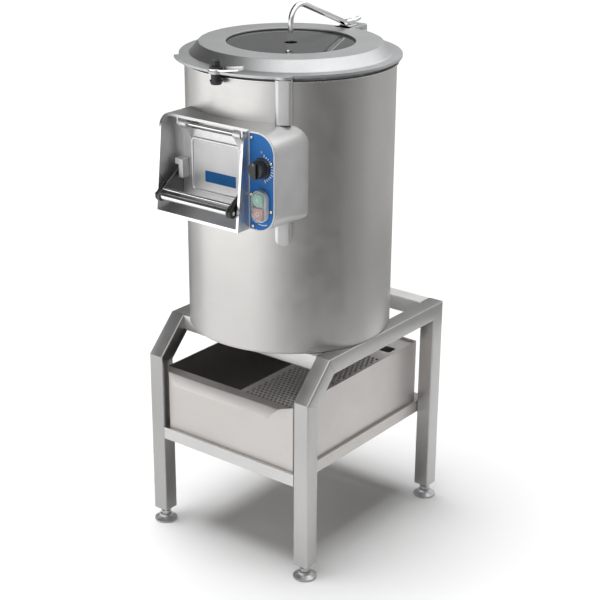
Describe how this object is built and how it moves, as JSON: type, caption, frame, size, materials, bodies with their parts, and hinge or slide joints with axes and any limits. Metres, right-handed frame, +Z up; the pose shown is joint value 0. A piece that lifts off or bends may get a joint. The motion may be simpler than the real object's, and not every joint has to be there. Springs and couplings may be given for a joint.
{
  "type": "electric potato peeler",
  "caption": "Electric potato peeler with a steel drum, hinged lid with water spout, outlet door, control box and a tube stand with a sliding peel tray.",
  "frame": {"origin": "on the floor under the middle of the machine's outline", "axes": "+Z up along the drum's axis, -Y towards the outlet door at the front, +X to the right of somebody facing the machine"},
  "size_m": [0.399, 0.5242, 1.0172],
  "materials": {
    "satin_steel": "satin stainless steel tube",
    "drum_steel": "satin stainless steel sheet",
    "zinc_steel": "zinc-plated steel",
    "sheet_steel": "stainless steel sheet",
    "cast_aluminium": "fine-blasted casting",
    "abrasive_coat": "coated with coarse abrasive grit",
    "bright_steel": "polished steel",
    "black_rubber": "matt black rubber",
    "grey_rubber": "grey rubber",
    "motor_paint": "painted motor housing",
    "black_plastic": "black moulded plastic",
    "pale_plastic": "light grey moulded plastic",
    "green_plastic": "green moulded plastic",
    "red_plastic": "red moulded plastic",
    "blue_foil": "blue foil on sheet metal",
    "smoked_glass": "smoked window"
  },
  "bodies": {
    "base": {"left_side_frame": "satin_steel", "right_side_frame": "satin_steel", "front_cross_tube": "satin_steel", "rear_cross_tube": "satin_steel", "front_shelf_rail": "satin_steel", "rear_shelf_rail": "satin_steel", "left_tray_runner": "satin_steel", "right_tray_runner": "satin_steel", "drum_base_plate": "drum_steel", "drum_shell": "drum_steel", "upper_cable_duct": "drum_steel", "lower_cable_duct": "drum_steel", "waste_pipe": "drum_steel", "motor_plate": "zinc_steel", "drum_top_ring": "cast_aluminium", "chamber_floor": "cast_aluminium", "bearing_housing": "cast_aluminium", "lid_hinge_bracket": "cast_aluminium", "front_casting": "cast_aluminium", "abrasive_liner": "abrasive_coat", "upper_bearing": "bright_steel", "lower_bearing": "bright_steel", "lid_hinge_pin": "bright_steel", "door_hinge_rod": "bright_steel", "shaft_seal": "black_rubber", "drive_belt": "black_rubber", "drive_motor": "motor_paint", "cable_gland": "black_plastic", "switch_block": "pale_plastic", "button_bezel": "pale_plastic", "control_panel": "blue_foil"},
    "lid": {"lid_casting": "cast_aluminium", "lid_window": "smoked_glass", "lid_seal": "grey_rubber", "spout_pipe": "bright_steel", "spout_clamp": "bright_steel"},
    "latch": {"latch_knob": "black_plastic", "latch_lever": "bright_steel", "latch_catch": "black_plastic"},
    "turntable": {"turntable": "abrasive_coat", "main_shaft": "bright_steel", "driven_pulley": "cast_aluminium"},
    "motor_rotor": {"motor_pulley": "cast_aluminium", "motor_shaft": "bright_steel"},
    "door": {"outlet_door": "cast_aluminium", "door_seal": "black_rubber", "door_bracket": "cast_aluminium", "handle_frame": "sheet_steel"},
    "grip": {"grip_bar": "bright_steel", "left_grip_arm": "black_plastic", "right_grip_arm": "black_plastic"},
    "timer": {"timer_knob": "black_plastic"},
    "start": {"start_button": "green_plastic"},
    "stop": {"stop_button": "red_plastic"},
    "tray": {"peel_tray": "sheet_steel"},
    "strainer": {"tray_strainer": "sheet_steel"},
    "foot_front_left": {"front_left_foot": "zinc_steel"},
    "foot_front_right": {"front_right_foot": "zinc_steel"},
    "foot_rear_left": {"rear_left_foot": "zinc_steel"},
    "foot_rear_right": {"rear_right_foot": "zinc_steel"}
  },
  "joints": [
    {"name": "lid_hinge", "type": "hinge", "parent": "base", "child": "lid", "pos_m": [0, 0.21694, 0.937], "axis": [-1, 0, 0], "range_deg": [0, 85]},
    {"name": "latch_turn", "type": "hinge", "parent": "lid", "child": "latch", "pos_m": [0, -0.19256, 0.935], "axis": [0, 0, -1], "range_deg": [0, 90]},
    {"name": "turntable_spin", "type": "hinge", "parent": "base", "child": "turntable", "pos_m": [0, 0.01094, 0.6], "axis": [0, 0, 1], "continuous": true},
    {"name": "motor_spin", "type": "hinge", "parent": "base", "child": "motor_rotor", "pos_m": [-0.078, 0.08894, 0.5], "axis": [0, 0, 1], "continuous": true},
    {"name": "door_hinge", "type": "hinge", "parent": "base", "child": "door", "pos_m": [0, -0.20656, 0.8348], "axis": [-1, 0, 0], "range_deg": [0, 70]},
    {"name": "grip_turn", "type": "hinge", "parent": "door", "child": "grip", "pos_m": [0, -0.25256, 0.7118], "axis": [1, 0, 0], "range_deg": [0, 35]},
    {"name": "timer_turn", "type": "hinge", "parent": "base", "child": "timer", "pos_m": [0.12245, -0.21906, 0.7898], "axis": [0, 1, 0], "range_deg": [0, 300]},
    {"name": "start_press", "type": "slide", "parent": "base", "child": "start", "axis": [0, 1, 0], "range_m": [0, 0.004], "stiffness_N_per_m": 400, "springref_m": -0.002},
    {"name": "stop_press", "type": "slide", "parent": "base", "child": "stop", "axis": [0, 1, 0], "range_m": [0, 0.004], "stiffness_N_per_m": 400, "springref_m": -0.002},
    {"name": "tray_slide", "type": "slide", "parent": "base", "child": "tray", "axis": [0, -1, 0], "range_m": [0, 0.3]},
    {"name": "strainer_lift", "type": "slide", "parent": "tray", "child": "strainer", "axis": [0, 0, 1], "range_m": [0, 0.05]},
    {"name": "foot_turn_front_left", "type": "hinge", "parent": "base", "child": "foot_front_left", "pos_m": [-0.17413, -0.16319, 0.028], "axis": [0, 0, 1], "continuous": true},
    {"name": "foot_turn_front_right", "type": "hinge", "parent": "base", "child": "foot_front_right", "pos_m": [0.17413, -0.16319, 0.028], "axis": [0, 0, 1], "continuous": true},
    {"name": "foot_turn_rear_left", "type": "hinge", "parent": "base", "child": "foot_rear_left", "pos_m": [-0.17413, 0.24006, 0.028], "axis": [0, 0, 1], "continuous": true},
    {"name": "foot_turn_rear_right", "type": "hinge", "parent": "base", "child": "foot_rear_right", "pos_m": [0.17413, 0.24006, 0.028], "axis": [0, 0, 1], "continuous": true}
  ],
  "couplings": [
    {"joint": "motor_spin", "follows": "turntable_spin", "ratio": 2.8}
  ]
}
